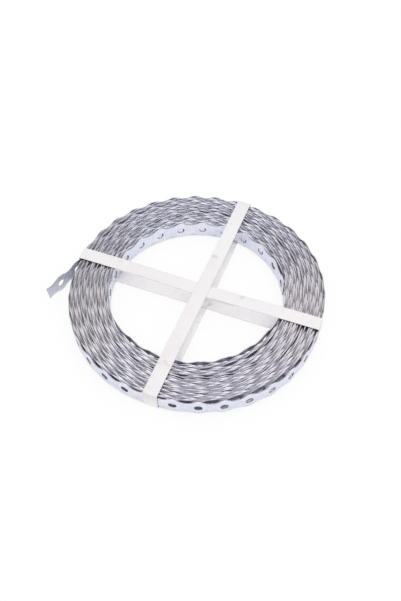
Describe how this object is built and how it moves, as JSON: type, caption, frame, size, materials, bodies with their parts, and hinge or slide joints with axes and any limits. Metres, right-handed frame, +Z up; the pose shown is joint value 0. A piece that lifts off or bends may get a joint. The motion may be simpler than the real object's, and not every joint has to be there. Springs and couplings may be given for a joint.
{
  "type": "perforated steel strap coil",
  "caption": "Flat coil of wavy-edged galvanised perforated strap with a free end standing out, tied with crossed plastic bands.",
  "frame": {"origin": "centre of the coil, on the level floor that the lower runs of its bands lie on", "axes": "+Z up along the coil's axis; X along the lower of the two crossed bands, Y within a degree of the upper one; the free end is at -X"},
  "size_m": [0.2286, 0.2176, 0.0182],
  "materials": {
    "zinc_strap": "galvanised",
    "band_plastic": "satin"
  },
  "bodies": {
    "root": {"strap_coil": "zinc_strap", "tie_band_under": "band_plastic", "tie_band_over": "band_plastic"}
  },
  "joints": []
}
